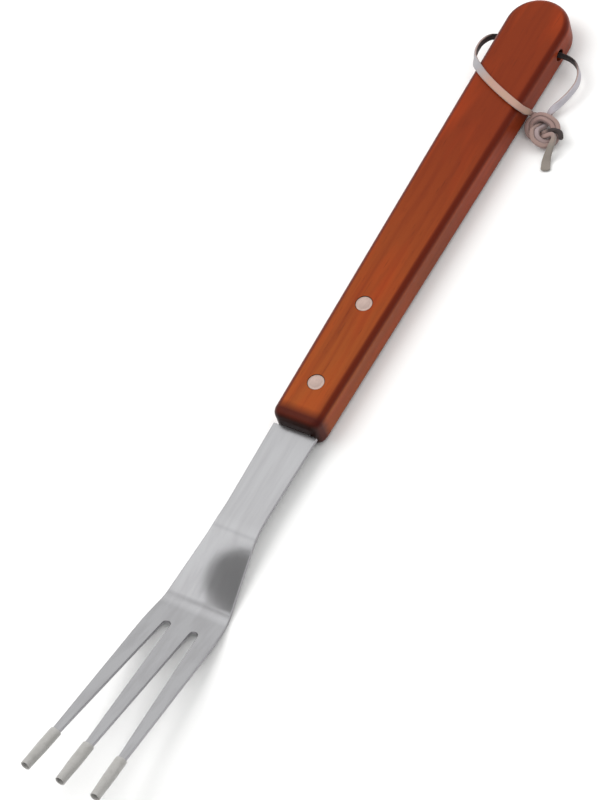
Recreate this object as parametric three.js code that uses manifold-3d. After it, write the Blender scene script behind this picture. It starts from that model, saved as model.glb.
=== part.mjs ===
// Barbecue fork: a bent three-tine blade riveted into a flared hardwood handle, with tip guards
// on the tines and a knotted leather thong through the butt. Millimetres, +Z up, +X towards the butt.
// The origin is the middle of the handle's flat underside.
import * as THREE from 'three';
import { mergeVertices } from 'three/addons/utils/BufferGeometryUtils.js';
import Module from 'manifold-3d';

const wasm = await Module();
wasm.setup();

// Handle
const handleLength = 225;
const handleFrontWidth = 21.6;
const handleButtWidth = 28.6;
const handleThickness = 15;
const handleEdgeRadius = 3.5;
const handleCornerRadius = 4.5;
const thongHoleDiameter = 5;
const thongHoleFromButt = 21;
const thongHoleSides = 24;
const handleEdgeSteps = 6;
const handleCurveSteps = 14;

// Blade: one stamped sheet, with reaches measured from the handle's front end towards the tips
const sheetThickness = 1.6;
const tangPastRivet = 14.5;
const tangWidth = 13;
const shoulderGap = 0.3;
const shankWidth = 20.2;
const waistWidth = 18.4;
const waistReach = 46.5;
const headWidth = 32.2;
const headReach = 90.5;
const shoulderRound = 9;
const neckBendReach = 47;
const neckBendRadius = 30;
const neckDrop = 6.9;
const headBendReach = 83;
const headBendRadius = 15;
const tineSlope = 13.9;
const stepsPerBend = 6;
const bladeCurveSteps = 8;

// Tines
const slotRootReach = 92.6;
const tineRootReach = 94.5;
const midTineRootWidth = 8.9;
const sideTineRootWidth = 8;
const tineNeckWidth = 2.6;
const tinePointReach = 170.5;
const tinePointLength = 6.5;
const sideTineSplay = 3.2;

// Tip guards: soft sleeves that a flat tine presses oval, and that relax to a round open end
const guardCover = 15;
const guardLength = 19;
const guardWall = 0.35;
const guardClearance = 0.1;
const guardMouthHeight = 3.2;
const guardEndDiameter = 4.1;
const guardOvalShare = 0.35;
const guardRings = 7;
const guardSides = 24;

// Rivets: a hollow upper half over a solid lower half, with heads sunk in the wood
const rivetFromFront = 19.5;
const rivetSpacing = 40;
const rivetHeadDiameter = 7;
const rivetHeadThickness = 1.2;
const rivetHeadBevel = 0.25;
const rivetInset = 0.1;
const rivetTubeDiameter = 4.2;
const rivetBoreDiameter = 2.8;
const rivetPinDiameter = 2.3;
const rivetEndGap = 1.5;
const rivetSides = 32;

// Fits
const mortiseClearance = 0.3;
const rivetClearance = 0.15;
const cutOvershoot = 1;

// Thong: a flat lace, doubled and squeezed together through its knot
const laceWidth = 3.4;
const laceThickness = 1.2;
const laceCorner = 0.3;
const knotLaceWidth = 1.7;
const knotLaceThickness = 1.6;
const laceStackGap = 0.5;
const laceStep = 1.2;

const handleFront = -handleLength / 2;
const handleButt = handleLength / 2;
const bladePlane = handleThickness / 2;
const tineRise = Math.tan(THREE.MathUtils.degToRad(tineSlope));
const tangLength = rivetFromFront + rivetSpacing + tangPastRivet;
const tineNeckReach = tinePointReach - tinePointLength;
const guardReach = tinePointReach - guardCover;

const materials = {
  wood: new THREE.MeshStandardMaterial({ color: 0x9c5030, roughness: 0.45, metalness: 0 }),
  steel: new THREE.MeshStandardMaterial({ color: 0xc4c4c6, roughness: 0.3, metalness: 1 }),
  rivet: new THREE.MeshStandardMaterial({ color: 0xd2ccc6, roughness: 0.35, metalness: 1 }),
  guard: new THREE.MeshStandardMaterial({ color: 0xb4b4a6, roughness: 0.35, metalness: 0 }),
  leather: new THREE.MeshStandardMaterial({ color: 0xb9a08c, roughness: 0.9, metalness: 0 }),
};

// Helpers that weld a geometry into one closed body and cut bodies with each other
function weld(geometry) {
  const bare = geometry.index ? geometry.toNonIndexed() : geometry.clone();
  bare.deleteAttribute('normal');
  bare.deleteAttribute('uv');
  const merged = mergeVertices(bare, 1e-4);
  const kept = [];
  const index = merged.index.array;
  for (let i = 0; i < index.length; i += 3) {
    const [a, b, c] = [index[i], index[i + 1], index[i + 2]];
    if (a !== b && b !== c && c !== a) kept.push(a, b, c);
  }
  merged.setIndex(kept);
  return merged;
}

function toSolid(geometry) {
  const welded = weld(geometry);
  const vertProperties = new Float32Array(welded.attributes.position.array);
  const triVerts = new Uint32Array(welded.index.array);
  return new wasm.Manifold(new wasm.Mesh({ numProp: 3, vertProperties, triVerts }));
}

function toGeometry(solid) {
  const { vertProperties, triVerts } = solid.getMesh();
  const geometry = new THREE.BufferGeometry();
  geometry.setAttribute('position', new THREE.BufferAttribute(vertProperties, 3));
  geometry.setIndex(new THREE.BufferAttribute(triVerts, 1));
  return geometry;
}

function addMesh(parent, name, geometry, material) {
  geometry.computeVertexNormals();
  const mesh = new THREE.Mesh(geometry, material);
  mesh.name = name;
  parent.add(mesh);
  return mesh;
}

function uprightCylinder(diameter, height, sides, x, y, z) {
  const cylinder = new THREE.CylinderGeometry(diameter / 2, diameter / 2, height, sides);
  return toSolid(cylinder.rotateX(Math.PI / 2).translate(x, y, z));
}

// Handle outline, drawn inside its finished edge by the edge radius: straight sides that flare
// from two round front corners to a round butt
function handleShape() {
  const inset = handleEdgeRadius;
  const taper = Math.atan((handleButtWidth - handleFrontWidth) / 2 / handleLength);
  const buttRadius = ((handleButtWidth / 2) * Math.cos(taper)) / (1 + Math.sin(taper));
  const buttCentre = handleButt - buttRadius;
  const corner = handleCornerRadius;
  const cornerX = handleFront + corner;
  const cornerY = handleFrontWidth / 2 + corner * Math.tan(taper) - corner / Math.cos(taper);
  const right = Math.PI / 2;
  const shape = new THREE.Shape();
  shape.absarc(buttCentre, 0, buttRadius - inset, -right - taper, right + taper, false);
  shape.absarc(cornerX, cornerY, corner - inset, right + taper, Math.PI, false);
  shape.absarc(cornerX, -cornerY, corner - inset, Math.PI, 3 * right - taper, false);
  shape.closePath();
  return shape;
}

function makeHandle(parent) {
  const body = new THREE.ExtrudeGeometry(handleShape(), {
    depth: handleThickness - 2 * handleEdgeRadius,
    bevelEnabled: true,
    bevelThickness: handleEdgeRadius,
    bevelSize: handleEdgeRadius,
    bevelSegments: handleEdgeSteps,
    curveSegments: handleCurveSteps,
  });
  body.translate(0, 0, handleEdgeRadius);
  let solid = toSolid(body);

  const mortiseDepth = tangLength + mortiseClearance;
  const mortise = new THREE.BoxGeometry(
    mortiseDepth + cutOvershoot,
    tangWidth + 2 * mortiseClearance,
    sheetThickness + 2 * mortiseClearance,
  );
  mortise.translate(handleFront + (mortiseDepth - cutOvershoot) / 2, 0, bladePlane);
  solid = solid.subtract(toSolid(mortise));

  const sinkDepth = rivetInset + rivetHeadThickness + rivetClearance;
  const sinkDiameter = rivetHeadDiameter + 2 * rivetClearance;
  for (const x of rivetPlaces()) {
    const shaft = rivetTubeDiameter + 2 * rivetClearance;
    const height = handleThickness + 2 * cutOvershoot;
    solid = solid.subtract(uprightCylinder(shaft, height, rivetSides, x, 0, bladePlane));
    for (const side of [-1, 1]) {
      const z = bladePlane + side * (bladePlane - sinkDepth / 2 + cutOvershoot / 2);
      solid = solid.subtract(
        uprightCylinder(sinkDiameter, sinkDepth + cutOvershoot, rivetSides, x, 0, z),
      );
    }
  }

  const radius = thongHoleDiameter / 2;
  const across = handleButtWidth + 2 * cutOvershoot;
  const hole = new THREE.CylinderGeometry(radius, radius, across, thongHoleSides);
  hole.translate(handleButt - thongHoleFromButt, 0, bladePlane);
  solid = solid.subtract(toSolid(hole));
  addMesh(parent, 'handle', toGeometry(solid), materials.wood);
}

function rivetPlaces() {
  const first = handleFront + rivetFromFront;
  return [first, first + rivetSpacing];
}

// Blade outline seen from above; the blade's own x runs back from the handle's front end
const sideTineRootY = headWidth / 2 - sideTineRootWidth / 2;
const sideTine = {
  rootY: sideTineRootY,
  rootWidth: sideTineRootWidth,
  tipY: sideTineRootY + sideTineSplay,
};
const midTine = { rootY: 0, rootWidth: midTineRootWidth, tipY: 0 };

function tineEdge(tine, side, reach) {
  const share = (reach - tineRootReach) / (tineNeckReach - tineRootReach);
  const centre = tine.rootY + share * (tine.tipY - tine.rootY);
  const width = tine.rootWidth + share * (tineNeckWidth - tine.rootWidth);
  return centre + (side * width) / 2;
}

function tineTip(tine) {
  const share = (tinePointReach - tineRootReach) / (tineNeckReach - tineRootReach);
  return tine.rootY + share * (tine.tipY - tine.rootY);
}

// The round end of the slot between two tines, an arc that touches both of its straight edges
function slotRoot() {
  const run = tineNeckReach - tineRootReach;
  const outerStart = tineEdge(sideTine, -1, tineRootReach);
  const innerStart = tineEdge(midTine, 1, tineRootReach);
  const outerSlope = (tineEdge(sideTine, -1, tineNeckReach) - outerStart) / run;
  const innerSlope = (tineEdge(midTine, 1, tineNeckReach) - innerStart) / run;
  const outerTurn = Math.atan(outerSlope);
  const innerTurn = Math.atan(innerSlope);
  const middleTurn = (outerTurn + innerTurn) / 2;
  const spread = Math.sin((outerTurn - innerTurn) / 2);

  const meetBefore = (outerStart - innerStart) / (outerSlope - innerSlope);
  const meetReach = tineRootReach - meetBefore;
  const meetY = outerStart - outerSlope * meetBefore;
  const fromMeet = (slotRootReach - meetReach) / (Math.cos(middleTurn) - spread);
  return {
    x: -meetReach - fromMeet * Math.cos(middleTurn),
    y: meetY + fromMeet * Math.sin(middleTurn),
    radius: fromMeet * spread,
    outerTurn,
    innerTurn,
  };
}

function bladeShape() {
  const shank = new THREE.Vector2(-shoulderGap, shankWidth / 2);
  const waist = new THREE.Vector2(-waistReach, waistWidth / 2);
  const head = new THREE.Vector2(-headReach, headWidth / 2);
  const tineEnd = new THREE.Vector2(-tineNeckReach, tineEdge(sideTine, 1, tineNeckReach));
  const towards = (from, to) => to.clone().sub(from).setLength(shoulderRound).add(from);

  const outer = new THREE.Path();
  outer.moveTo(tangLength, tangWidth / 2);
  outer.lineTo(-shoulderGap, tangWidth / 2);
  outer.lineTo(shank.x, shank.y);
  outer.lineTo(...towards(waist, shank).toArray());
  outer.quadraticCurveTo(waist.x, waist.y, ...towards(waist, head).toArray());
  outer.lineTo(...towards(head, waist).toArray());
  outer.quadraticCurveTo(head.x, head.y, ...towards(head, tineEnd).toArray());
  outer.lineTo(tineEnd.x, tineEnd.y);
  outer.lineTo(-tinePointReach, tineTip(sideTine));
  outer.lineTo(-tineNeckReach, tineEdge(sideTine, -1, tineNeckReach));

  const { x, y, radius, outerTurn, innerTurn } = slotRoot();
  const quarter = Math.PI / 2;
  outer.lineTo(x + radius * Math.sin(outerTurn), y + radius * Math.cos(outerTurn));
  outer.absarc(x, y, radius, quarter - outerTurn, -quarter - innerTurn, true);
  outer.lineTo(-tineNeckReach, tineEdge(midTine, 1, tineNeckReach));

  const half = outer.getPoints(bladeCurveSteps);
  const mirrored = half.map((p) => new THREE.Vector2(p.x, -p.y)).reverse();
  const tip = new THREE.Vector2(-tinePointReach, 0);
  return new THREE.Shape([...half, tip, ...mirrored]);
}

// Side view of the sheet: straight runs joined by round bends, drawn as a strip of even thickness
function bentStrip(corners, thickness) {
  const line = [];
  corners.forEach((corner, i) => {
    if (!corner.radius) {
      line.push(corner.at.clone());
      return;
    }
    const into = corner.at.clone().sub(corners[i - 1].at).normalize();
    const out = corners[i + 1].at.clone().sub(corner.at).normalize();
    const turn = Math.atan2(into.cross(out), into.dot(out));
    const start = corner.at.clone().addScaledVector(into, -corner.radius * Math.tan(Math.abs(turn) / 2));
    const inward = new THREE.Vector2(-into.y, into.x).multiplyScalar(Math.sign(turn));
    const centre = start.clone().addScaledVector(inward, corner.radius);
    for (let step = 0; step <= stepsPerBend; step += 1) {
      line.push(start.clone().rotateAround(centre, (turn * step) / stepsPerBend));
    }
  });
  const offset = (side) => line.map((point, i) => {
    const before = line[Math.max(i - 1, 0)];
    const after = line[Math.min(i + 1, line.length - 1)];
    const into = point.clone().sub(before).normalize();
    const out = after.clone().sub(point).normalize();
    const along = into.add(out).normalize();
    return point.clone().add(new THREE.Vector2(-along.y, along.x).multiplyScalar((side * thickness) / 2));
  });
  return new THREE.Shape([...offset(1), ...offset(-1).reverse()]);
}

function sheetHeight(reach) {
  return -neckDrop + (reach - headBendReach) * tineRise;
}

function makeBlade(parent) {
  const tall = 4 * bladePlane + 2 * sheetHeight(tinePointReach);
  const plan = new THREE.ExtrudeGeometry(bladeShape(), { depth: tall, bevelEnabled: false });
  plan.translate(0, 0, -tall / 2);

  const pastTip = tinePointReach + cutOvershoot;
  const corners = [
    { at: new THREE.Vector2(tangLength + cutOvershoot, 0) },
    { at: new THREE.Vector2(-neckBendReach, 0), radius: neckBendRadius },
    { at: new THREE.Vector2(-headBendReach, -neckDrop), radius: headBendRadius },
    { at: new THREE.Vector2(-pastTip, sheetHeight(pastTip)) },
  ];
  const wide = 2 * headWidth;
  const side = new THREE.ExtrudeGeometry(bentStrip(corners, sheetThickness), {
    depth: wide,
    bevelEnabled: false,
  });
  side.rotateX(Math.PI / 2).translate(0, wide / 2, 0);

  let solid = toSolid(plan).intersect(toSolid(side));
  const holeDiameter = rivetTubeDiameter + 2 * rivetClearance;
  for (const x of rivetPlaces()) {
    const height = sheetThickness + 2 * cutOvershoot;
    solid = solid.subtract(uprightCylinder(holeDiameter, height, rivetSides, x - handleFront, 0, 0));
  }
  const mesh = addMesh(parent, 'fork_blade', toGeometry(solid), materials.steel);
  mesh.position.set(handleFront, 0, bladePlane);
}

// Tip guard: a sleeve lofted from an oval mouth, just wide enough to clear the tine's corners,
// to a round open end
function mouthWidth(tineWidth) {
  const cornerHeight = (sheetThickness + 2 * guardClearance) / guardMouthHeight;
  return (tineWidth + 2 * guardClearance) / Math.sqrt(1 - cornerHeight ** 2);
}

function guardRing(share, tineWidth, outward) {
  const round = guardEndDiameter / 2 - guardWall;
  const ease = THREE.MathUtils.smoothstep(share, guardOvalShare, 1);
  const halfWidth = THREE.MathUtils.lerp(mouthWidth(tineWidth) / 2, round, ease) + outward;
  const halfHeight = THREE.MathUtils.lerp(guardMouthHeight / 2, round, ease) + outward;
  const ring = [];
  for (let i = 0; i < guardSides; i += 1) {
    const angle = ((i + 0.5) / guardSides) * 2 * Math.PI;
    const y = halfWidth * Math.cos(angle);
    const z = halfHeight * Math.sin(angle);
    ring.push(new THREE.Vector3(share * guardLength, y, z));
  }
  return ring;
}

function guardGeometry(tineWidth) {
  const rings = [];
  for (let i = 0; i <= guardRings; i += 1) rings.push(guardRing(i / guardRings, tineWidth, guardWall));
  for (let i = guardRings; i >= 0; i -= 1) rings.push(guardRing(i / guardRings, tineWidth, 0));
  const count = rings.length;
  const index = [];
  for (let r = 0; r < count; r += 1) {
    for (let i = 0; i < guardSides; i += 1) {
      const next = (i + 1) % guardSides;
      const [a, b] = [r * guardSides + i, r * guardSides + next];
      const [c, d] = [((r + 1) % count) * guardSides + i, ((r + 1) % count) * guardSides + next];
      index.push(a, b, c, b, d, c);
    }
  }
  const geometry = new THREE.BufferGeometry().setFromPoints(rings.flat());
  geometry.setIndex(index);
  return geometry;
}

function makeGuard(parent, name, tine, mirror) {
  const y = (tineEdge(tine, 1, guardReach) + tineEdge(tine, -1, guardReach)) / 2;
  const width = tineEdge(tine, 1, guardReach) - tineEdge(tine, -1, guardReach);
  const splay = (tine.tipY - tine.rootY) / (tineNeckReach - tineRootReach);
  const along = new THREE.Vector3(-1, mirror * splay, tineRise).normalize();
  const normal = new THREE.Vector3(tineRise, 0, 1).normalize();
  const across = normal.clone().cross(along);
  const mesh = addMesh(parent, name, guardGeometry(width), materials.guard);
  mesh.quaternion.setFromRotationMatrix(new THREE.Matrix4().makeBasis(along, across, normal));
  mesh.position.set(handleFront - guardReach, mirror * y, bladePlane + sheetHeight(guardReach));
}

// Rivet halves, turned about the rivet's own axis with its middle at the blade's plane
function latheMesh(parent, name, profile, x) {
  const points = profile.map(([r, z]) => new THREE.Vector2(r, z));
  const geometry = weld(new THREE.LatheGeometry(points, rivetSides));
  geometry.rotateX(Math.PI / 2);
  const mesh = addMesh(parent, name, geometry, materials.rivet);
  mesh.position.set(x, 0, bladePlane);
}

function makeRivet(parent, place, x) {
  const face = handleThickness / 2 - rivetInset;
  const under = face - rivetHeadThickness;
  const head = rivetHeadDiameter / 2;
  const tube = rivetTubeDiameter / 2;
  const bore = rivetBoreDiameter / 2;
  const pin = rivetPinDiameter / 2;
  const tubeEnd = -under + rivetClearance;
  latheMesh(parent, `rivet_tube_${place}`, [
    [0, under],
    [bore, under],
    [bore, tubeEnd],
    [tube, tubeEnd],
    [tube, under],
    [head, under],
    [head, face - rivetHeadBevel],
    [head - rivetHeadBevel, face],
    [0, face],
  ], x);
  latheMesh(parent, `rivet_pin_${place}`, [
    [0, -face],
    [head - rivetHeadBevel, -face],
    [head, -face + rivetHeadBevel],
    [head, -under],
    [pin, -under],
    [pin, under - rivetEndGap],
    [0, under - rivetEndGap],
  ], x);
}

// Thong: places are measured from the middle of its hole, face is where the pale side looks, and
// squeezed is how far the lace is pressed into its shape in the knot, below 0 where its end spreads
const knotCentre = new THREE.Vector3(-35.1, -23.4, -3.75);
const knotUp = new THREE.Vector3(0, 0, 1);
const knotDown = new THREE.Vector3(-0.6, -0.8, 0);
const knotRight = knotUp.clone().cross(knotDown);

// Middle of the doubled lace through its overhand knot: towards the tails, to the right, up
const knotRoute = [
  [-4.4, 2.3, -1.8],
  [-2.55, -0.4, -0.25],
  [0, -3.6, 2.2],
  [3.1, -4.8, 1.4],
  [6.1, -2.9, -0.4],
  [5.5, 1.8, -1.9],
  [0, 5.2, 0],
  [-5.5, 1.8, 1.9],
  [-6.1, -2.9, 0.4],
  [-3.1, -4.8, -1.4],
  [0, -3.6, -2.2],
  [2.55, -0.4, 0.25],
  [4.4, 2.3, 1.8],
];
const longTail = [
  { at: [7.2, 1.8, 2.2], face: [-0.1, -0.7, 0.7], squeezed: 1 },
  { at: [9.4, -0.3, 1.7], face: [0.1, -0.4, 0.9], squeezed: 0.6 },
  { at: [11.1, -3, -0.4], face: [0.3, -0.4, 0.9], squeezed: 0.2 },
  { at: [13, -5.4, -2.6], face: [0.2, -0.1, 1], squeezed: -0.2 },
  { at: [16.9, -7.8, -3], face: [0, 0, 1], squeezed: -0.6 },
];
const shortTail = [
  { at: [6.1, 4.9, 1.9], face: [0, -0.9, 0.4], squeezed: 1 },
  { at: [9.3, 3.9, 1], face: [-0.1, -0.8, 0.5], squeezed: 0.8 },
];

// From the knot over the handle's top and round to the hole, then out and back to the knot
const loopRoute = [
  { at: [-28.1, -18.7, -5.4], face: [-0.8, 0.1, 0.6], squeezed: 1 },
  { at: [-29.4, -15.2, -3.4], face: [-0.4, -0.8, 0.3], squeezed: 1 },
  { at: [-30.9, -14.8, -0.2], face: [0.1, -0.9, 0.2], squeezed: 0.5 },
  { at: [-33.4, -14.8, 4], face: [0.2, -0.9, 0.4] },
  { at: [-34.5, -13.2, 7.5], face: [0, -0.5, 0.9] },
  { at: [-33.4, -9.1, 8.5], face: [0, 0, 1] },
  { at: [-29.3, 0.2, 8.45], face: [0, 0, 1] },
  { at: [-25.2, 7.9, 8.45], face: [0, 0, 1] },
  { at: [-22, 12.4, 8], face: [0.1, 0.6, 0.8] },
  { at: [-18.3, 15.9, 5], face: [0.1, 1, 0.3] },
  { at: [-14.6, 18.5, 2.4], face: [-0.1, 1, 0] },
  { at: [-9.6, 20.6, 0.5], face: [0, 1, 0] },
  { at: [-4.8, 20.6, 0], face: [0.4, 0.9, 0] },
  { at: [-1.3, 18.4, 0], face: [0.9, 0.3, 0] },
  { at: [0, 14.6, 0], face: [1, 0, 0] },
  { at: [0, 0, 0], face: [1, 0, 0] },
  { at: [0, -14.6, 0], face: [1, 0, 0] },
  { at: [-0.5, -19.2, -0.1], face: [1, -0.2, 0] },
  { at: [-2.2, -22.7, -0.3], face: [0.8, -0.6, 0] },
  { at: [-4.9, -25.2, -1.2], face: [0.4, -0.9, 0.1] },
  { at: [-9.3, -26.4, -2.2], face: [0, -1, 0.2] },
  { at: [-14.8, -25.8, -2.6], face: [-0.2, -1, 0.2] },
  { at: [-20.4, -24.1, -3], face: [-0.3, -0.9, 0.3] },
  { at: [-25, -21.8, -4.3], face: [-0.2, -0.2, 0.9], squeezed: 0.5 },
  { at: [-27.4, -21.8, -5.2], face: [0, 0.7, 0.7], squeezed: 1 },
];

function vector([x, y, z]) {
  return new THREE.Vector3(x, y, z);
}

function knotDirection([down, right, up]) {
  const direction = knotDown.clone().multiplyScalar(down);
  return direction.addScaledVector(knotRight, right).addScaledVector(knotUp, up);
}

// One strand of the doubled lace, beside the knot's middle route, with its pale side outward
function knotStrand(side) {
  const middle = new THREE.CatmullRomCurve3(knotRoute.map(vector));
  const apart = (knotLaceThickness + laceStackGap) / 2;
  return knotRoute.map((place, i) => {
    const along = middle.getTangent(i / (knotRoute.length - 1));
    const sideways = new THREE.Vector3(0, 0, 1).cross(along).normalize();
    const at = vector(place).addScaledVector(sideways, side * apart);
    return {
      at: knotDirection(at.toArray()).add(knotCentre),
      face: knotDirection(sideways.negate().toArray()),
      squeezed: 1,
    };
  });
}

function laceStations() {
  const tail = (stations) => stations.map(({ at, face, squeezed = 0 }) => ({
    at: knotDirection(at).add(knotCentre),
    face: knotDirection(face),
    squeezed,
  }));
  const loop = loopRoute.map(({ at, face, squeezed = 0 }) => ({
    at: vector(at),
    face: vector(face),
    squeezed,
  }));
  return [
    ...tail(longTail).reverse(),
    ...knotStrand(-1).reverse(),
    ...loop,
    ...knotStrand(1),
    ...tail(shortTail),
  ];
}

// Rings of the flat lace along a smooth curve, each turned so that the pale side looks along face
function laceRings() {
  const stations = laceStations();
  const curve = new THREE.CatmullRomCurve3(stations.map(({ at }) => at), false, 'centripetal');
  const last = stations.length - 1;
  const rings = [];
  const addRing = (i, share) => {
    const next = stations[Math.min(i + 1, last)];
    const place = (i + share) / last;
    const centre = curve.getPoint(place);
    const along = curve.getTangent(place);
    const face = stations[i].face.clone().normalize().lerp(next.face.clone().normalize(), share);
    face.addScaledVector(along, -face.dot(along)).normalize();
    const across = face.clone().cross(along);
    const squeezed = THREE.MathUtils.lerp(stations[i].squeezed, next.squeezed, share);
    const halfWidth = THREE.MathUtils.lerp(laceWidth, knotLaceWidth, squeezed) / 2;
    const halfThick = THREE.MathUtils.lerp(laceThickness, knotLaceThickness, squeezed) / 2;
    const [inX, inY] = [halfWidth - laceCorner, halfThick - laceCorner];
    const section = [
      [halfWidth, -inY], [halfWidth, inY], [inX, halfThick], [-inX, halfThick],
      [-halfWidth, inY], [-halfWidth, -inY], [-inX, -halfThick], [inX, -halfThick],
    ];
    const points = section.map(([a, b]) => {
      return centre.clone().addScaledVector(across, a).addScaledVector(face, b);
    });
    rings.push({ centre, points });
  };
  for (let i = 0; i < last; i += 1) {
    const steps = Math.max(1, Math.round(stations[i].at.distanceTo(stations[i + 1].at) / laceStep));
    for (let step = 0; step < steps; step += 1) addRing(i, step / steps);
  }
  addRing(last, 0);
  return rings;
}

// Least gap between stretches of the lace that lie further apart along it than a knot's bend
function leastLaceGap(rings) {
  const reach = [0];
  for (let i = 1; i < rings.length; i += 1) {
    reach.push(reach[i - 1] + rings[i].centre.distanceTo(rings[i - 1].centre));
  }
  let least = Infinity;
  const apart = 2 * laceWidth;
  for (let i = 0; i < rings.length; i += 1) {
    for (let j = i + 1; j < rings.length; j += 1) {
      if (reach[j] - reach[i] < apart) continue;
      if (rings[i].centre.distanceTo(rings[j].centre) > apart) continue;
      for (const a of rings[i].points) {
        for (const b of rings[j].points) least = Math.min(least, a.distanceTo(b));
      }
    }
  }
  return { least, length: reach[reach.length - 1] };
}

function makeThong(parent) {
  const rings = laceRings();
  const sides = rings[0].points.length;
  const index = [];
  for (let r = 0; r + 1 < rings.length; r += 1) {
    for (let i = 0; i < sides; i += 1) {
      const [a, b] = [r * sides + i, r * sides + ((i + 1) % sides)];
      index.push(a, b, a + sides, b, b + sides, a + sides);
    }
  }
  const end = (rings.length - 1) * sides;
  for (let i = 1; i + 1 < sides; i += 1) {
    index.push(0, i + 1, i);
    index.push(end, end + i, end + i + 1);
  }
  const geometry = new THREE.BufferGeometry().setFromPoints(rings.flatMap(({ points }) => points));
  geometry.setIndex(index);
  const mesh = addMesh(parent, 'leather_thong', geometry, materials.leather);
  mesh.position.set(handleButt - thongHoleFromButt, 0, bladePlane);
  const { least, length } = leastLaceGap(rings);
  console.log(`thong: ${length.toFixed(1)} mm of lace, least gap to itself ${least.toFixed(2)} mm`);
}

const fork = new THREE.Group();
makeHandle(fork);
makeBlade(fork);
rivetPlaces().forEach((x, i) => makeRivet(fork, ['front', 'rear'][i], x));
makeGuard(fork, 'tip_guard_left', sideTine, 1);
makeGuard(fork, 'tip_guard_middle', midTine, 1);
makeGuard(fork, 'tip_guard_right', sideTine, -1);
makeThong(fork);

export default fork;
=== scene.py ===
import bmesh
import bpy
import math
from mathutils import Matrix, Vector


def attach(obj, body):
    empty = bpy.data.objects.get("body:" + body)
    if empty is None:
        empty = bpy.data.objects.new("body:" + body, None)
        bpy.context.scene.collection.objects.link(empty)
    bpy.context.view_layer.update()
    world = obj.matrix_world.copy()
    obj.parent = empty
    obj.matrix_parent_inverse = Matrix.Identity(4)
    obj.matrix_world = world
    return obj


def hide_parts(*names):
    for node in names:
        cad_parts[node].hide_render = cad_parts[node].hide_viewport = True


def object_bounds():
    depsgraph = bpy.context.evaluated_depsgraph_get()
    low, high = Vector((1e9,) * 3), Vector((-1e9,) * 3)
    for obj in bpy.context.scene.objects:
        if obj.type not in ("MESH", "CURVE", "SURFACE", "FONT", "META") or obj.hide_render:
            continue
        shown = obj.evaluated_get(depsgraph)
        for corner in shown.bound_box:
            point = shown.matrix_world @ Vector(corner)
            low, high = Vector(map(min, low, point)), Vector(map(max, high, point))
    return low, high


# Barbecue fork: bent steel blade, stained handle, rivets, tip guards and a knotted leather thong.
# Sizes in the settings are millimetres; mm turns them into the frame's metres.
mm = 0.001
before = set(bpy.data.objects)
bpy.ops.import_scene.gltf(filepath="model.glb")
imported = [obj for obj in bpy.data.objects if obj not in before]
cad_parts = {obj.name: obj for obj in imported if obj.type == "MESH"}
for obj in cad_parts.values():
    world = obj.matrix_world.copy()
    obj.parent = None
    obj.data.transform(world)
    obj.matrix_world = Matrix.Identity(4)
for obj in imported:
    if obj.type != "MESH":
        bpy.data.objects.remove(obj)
cadLow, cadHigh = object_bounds()
bpy.ops.object.select_all(action="DESELECT")
scene = bpy.context.scene
scene.view_settings.view_transform = "Standard"


# Camera at the photograph's viewing angle, rolled as the photograph is
cameraView = {
    "spot": (-570.09, -516.61, 1022.43),
    "azimuth": -42.09,
    "elevation": 55.30,
    "roll": -21.93,
    "lens": 139.69,
    "sensor": 36,
}


def makeCamera(view):
    data = bpy.data.cameras.new("photoCamera")
    data.lens = view["lens"]
    data.sensor_width = view["sensor"]
    camera = bpy.data.objects.new("photoCamera", data)
    scene.collection.objects.link(camera)
    turn = Matrix.Rotation(math.radians(view["azimuth"]), 4, "Z")
    tilt = Matrix.Rotation(math.radians(90 - view["elevation"]), 4, "X")
    roll = Matrix.Rotation(math.radians(view["roll"]), 4, "Z")
    place = Matrix.Translation(Vector(view["spot"]) * mm)
    camera.matrix_world = place @ turn @ tilt @ roll
    scene.camera = camera


makeCamera(cameraView)
print("camera made")


# One node with its settings: a socket in inputs is linked, any other value is set
def addNode(tree, kind, inputs=None, **settings):
    node = tree.nodes.new(kind)
    for name, value in settings.items():
        setattr(node, name, value)
    for name, value in (inputs or {}).items():
        if isinstance(value, bpy.types.NodeSocket):
            tree.links.new(value, node.inputs[name])
        else:
            node.inputs[name].default_value = value
    return node


# An sRGB hex colour in linear light, by that standard's curve
def linearColour(hexText):
    channels = [int(hexText[i:i + 2], 16) / 255 for i in (0, 2, 4)]
    linear = [c / 12.92 if c <= 0.04045 else ((c + 0.055) / 1.055) ** 2.4 for c in channels]
    return (*linear, 1.0)


# Lays a shade over a colour. A layer is its shade, the values where it starts and is full, and the most of
# it that shows. Sockets 0, 6 and 7 of the colour mix are its share and its two colours, and 2 its result.
def layShade(tree, colour, value, layer):
    shade, start, full, most = layer
    share = addNode(tree, "ShaderNodeMapRange", {
        "Value": value, "From Min": start, "From Max": full, "To Min": 0.0, "To Max": most,
    })
    over = linearColour(shade) if isinstance(shade, str) else shade
    mix = addNode(tree, "ShaderNodeMix", {0: share.outputs[0], 6: colour, 7: over}, data_type="RGBA")
    return mix.outputs[2]


# A cloudy pattern whose marks have a size in mm along each axis, with its detail and contrast
def spreadMarks(tree, place, marks):
    sizes, detail, contrast = marks
    scale = tuple(1 / size for size in sizes)
    spot = addNode(tree, "ShaderNodeMapping", {"Vector": place, "Scale": scale})
    noise = addNode(tree, "ShaderNodeTexNoise", {
        "Vector": spot.outputs[0], "Scale": 1.0, "Detail": detail, "Roughness": contrast,
    })
    return noise.outputs["Fac"]


def distanceFrom(tree, value, middle):
    off = addNode(tree, "ShaderNodeMath", {0: value, 1: middle}, operation="SUBTRACT")
    return addNode(tree, "ShaderNodeMath", {0: off.outputs[0]}, operation="ABSOLUTE").outputs[0]


# A piece's own coordinates, in mm
def ownPlace(tree):
    place = addNode(tree, "ShaderNodeTexCoord").outputs["Object"]
    scaled = addNode(tree, "ShaderNodeVectorMath", {0: place, "Scale": 1 / mm}, operation="SCALE")
    return scaled.outputs[0]


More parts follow.
